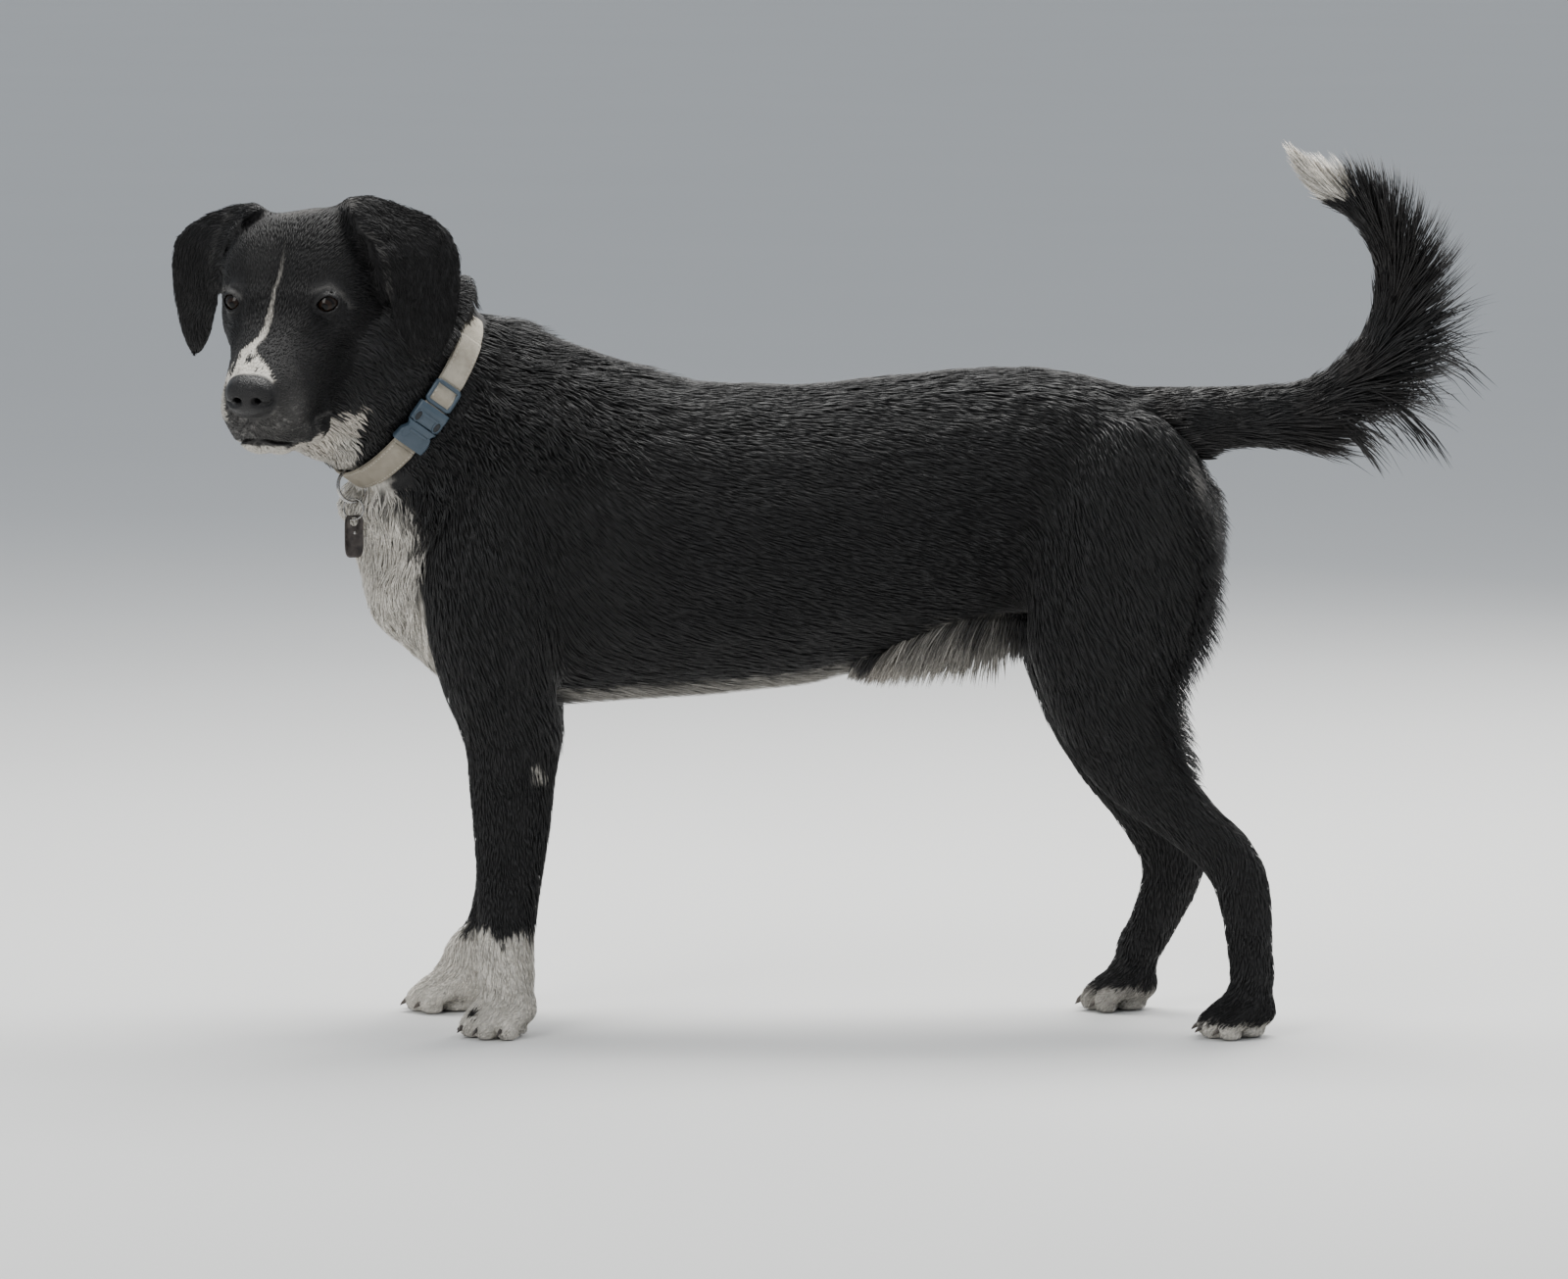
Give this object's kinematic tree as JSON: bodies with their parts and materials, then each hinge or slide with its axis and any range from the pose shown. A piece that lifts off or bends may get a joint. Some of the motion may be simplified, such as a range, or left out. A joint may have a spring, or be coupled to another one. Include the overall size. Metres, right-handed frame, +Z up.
{
  "type": "standing dog figure",
  "caption": "Life-size standing dog with hanging ears, a raised plumed tail and a short black coat marked with white, wearing a flat collar with a tag.",
  "frame": {"origin": "on the ground under the middle of the box that holds the dog", "axes": "+Z up, -X towards the head, +Y towards the dog's right side"},
  "size_m": [1.1042, 0.338, 0.7429],
  "materials": {
    "black_coat": "short glossy hair",
    "white_coat": "short hair",
    "grey_coat": "long loose hair",
    "nose_leather": "damp, finely pebbled",
    "eye": "wet and glossy",
    "webbing": "flat woven",
    "slate_plastic": "satin",
    "steel": "bright",
    "tag_metal": "worn and dark"
  },
  "bodies": {
    "root": {"collar_band": "webbing", "collar_buckle": "slate_plastic", "collar_adjuster": "slate_plastic", "collar_ring": "steel", "collar_split_ring": "steel", "collar_tag": "tag_metal", "tail_base": "black_coat", "tail_plume": "black_coat", "tail_tip": "white_coat", "fore_left_shoulder": "black_coat", "fore_left_forearm": "black_coat", "fore_left_pastern": "black_coat", "fore_left_paw": "white_coat", "fore_right_shoulder": "black_coat", "fore_right_forearm": "black_coat", "fore_right_pastern": "black_coat", "fore_right_paw": "white_coat", "hind_left_thigh": "black_coat", "hind_left_shank": "black_coat", "hind_left_hock": "black_coat", "hind_left_paw": "white_coat", "hind_right_thigh": "black_coat", "hind_right_shank": "black_coat", "hind_right_hock": "black_coat", "hind_right_paw": "white_coat", "neck": "black_coat", "trunk": "black_coat", "sheath_tuft": "grey_coat", "head": "black_coat", "lower_jaw": "white_coat", "nose": "nose_leather", "eye_left": "eye", "ear_left": "black_coat", "eye_right": "eye", "ear_right": "black_coat"}
  },
  "joints": []
}
